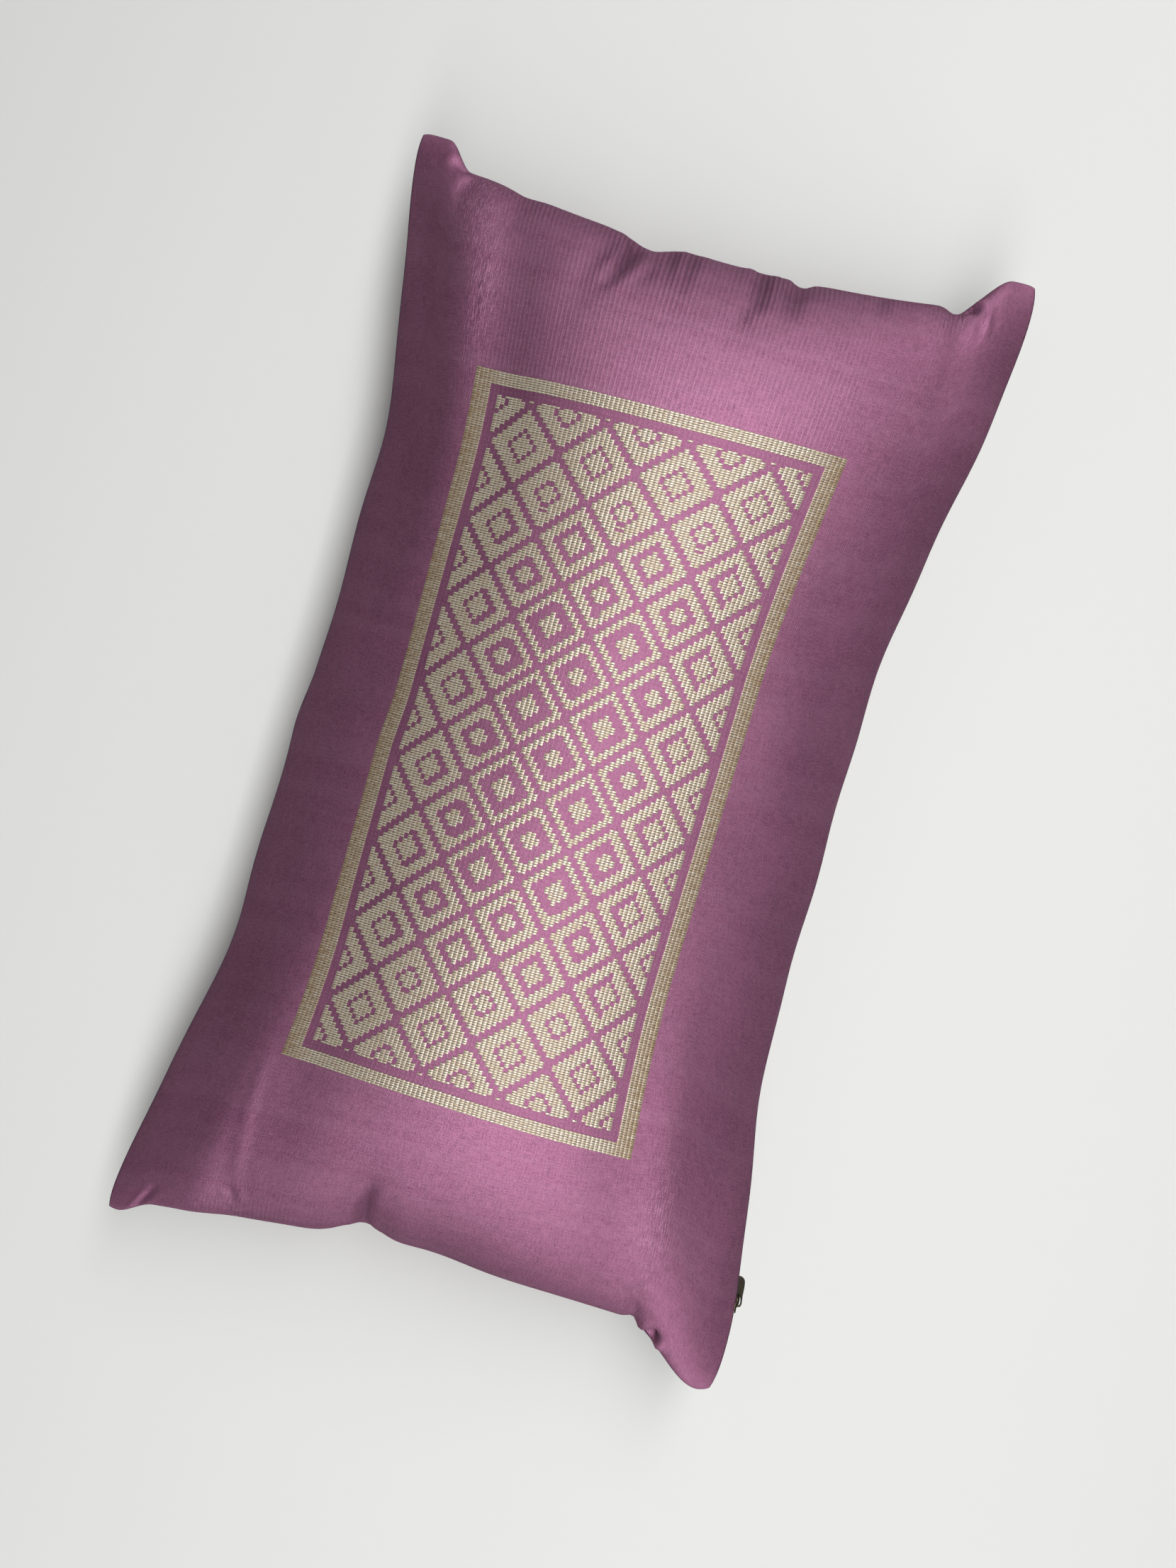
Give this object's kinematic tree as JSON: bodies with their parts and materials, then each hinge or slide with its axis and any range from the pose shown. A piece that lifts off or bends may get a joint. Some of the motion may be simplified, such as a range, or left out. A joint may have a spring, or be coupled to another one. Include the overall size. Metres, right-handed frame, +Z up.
{
  "type": "lumbar cushion",
  "caption": "Oblong filled silk cushion with drawn-in sides, flat ears, gathered ends and a concealed zip, lying on its back; used as a back or seat cushion.",
  "frame": {"origin": "under the middle of the cushion, on the surface that it lies on", "axes": "+Z up out of the front panel, +Y along the cushion towards its upper end, +X across it"},
  "size_m": [0.3017, 0.5377, 0.118],
  "materials": {
    "silk": "shot plum silk in plain weave with slubs, and a woven panel of pale gold thread on the front",
    "zip_metal": "dark antique bronze, worn at the edges"
  },
  "bodies": {
    "root": {"cushion": "silk", "zip_slider": "zip_metal", "zip_pull": "zip_metal"}
  },
  "joints": []
}
